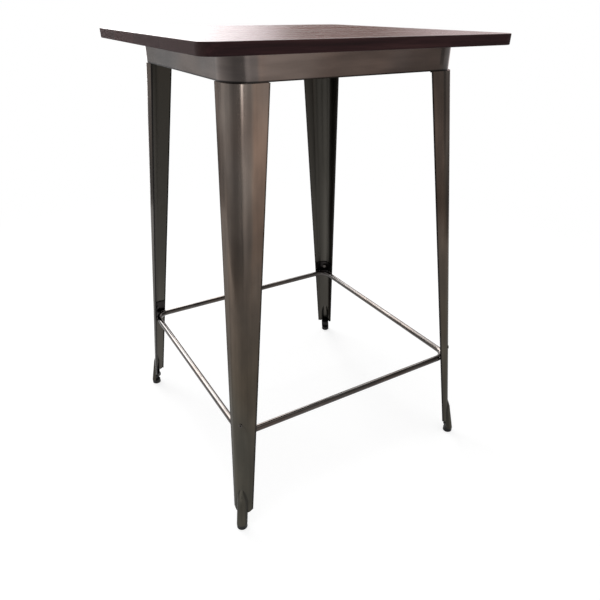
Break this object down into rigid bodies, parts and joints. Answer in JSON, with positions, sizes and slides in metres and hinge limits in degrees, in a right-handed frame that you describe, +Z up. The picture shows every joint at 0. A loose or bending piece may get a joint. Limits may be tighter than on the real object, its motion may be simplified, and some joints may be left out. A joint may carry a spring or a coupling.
{
  "type": "pub table",
  "caption": "Tall square pub table: glued dark wood top with rounded corners on a pressed steel apron, splayed tapered sheet legs and a closed tube foot rail.",
  "frame": {"origin": "on the floor, under the middle of the top", "axes": "+Z up, -Y towards the front side, +X to the right along the front edge and along the boards of the top"},
  "size_m": [0.718, 0.718, 1.052],
  "materials": {
    "stained_wood": "dark stained and semi-gloss lacquered",
    "gunmetal_steel": "glossy gunmetal lacquer over pressed sheet",
    "black_plastic": "moulded black",
    "zinc_steel": "bright zinc plated"
  },
  "bodies": {
    "root": {"top_board_1": "stained_wood", "top_board_2": "stained_wood", "top_board_3": "stained_wood", "top_board_4": "stained_wood", "apron": "gunmetal_steel", "leg_front_left": "gunmetal_steel", "leg_front_right": "gunmetal_steel", "leg_back_left": "gunmetal_steel", "leg_back_right": "gunmetal_steel", "corner_brace_front_left": "gunmetal_steel", "corner_brace_front_right": "gunmetal_steel", "corner_brace_back_left": "gunmetal_steel", "corner_brace_back_right": "gunmetal_steel", "foot_rail": "gunmetal_steel", "rail_tab_front_left": "gunmetal_steel", "rail_tab_front_right": "gunmetal_steel", "rail_tab_back_left": "gunmetal_steel", "rail_tab_back_right": "gunmetal_steel", "foot_glide_front_left": "black_plastic", "foot_glide_front_right": "black_plastic", "foot_glide_back_left": "black_plastic", "foot_glide_back_right": "black_plastic", "leg_bolts": "zinc_steel", "leg_washers": "zinc_steel", "leg_nuts": "zinc_steel", "top_screws": "zinc_steel", "rail_nuts": "zinc_steel", "rail_bolts": "gunmetal_steel"}
  },
  "joints": []
}
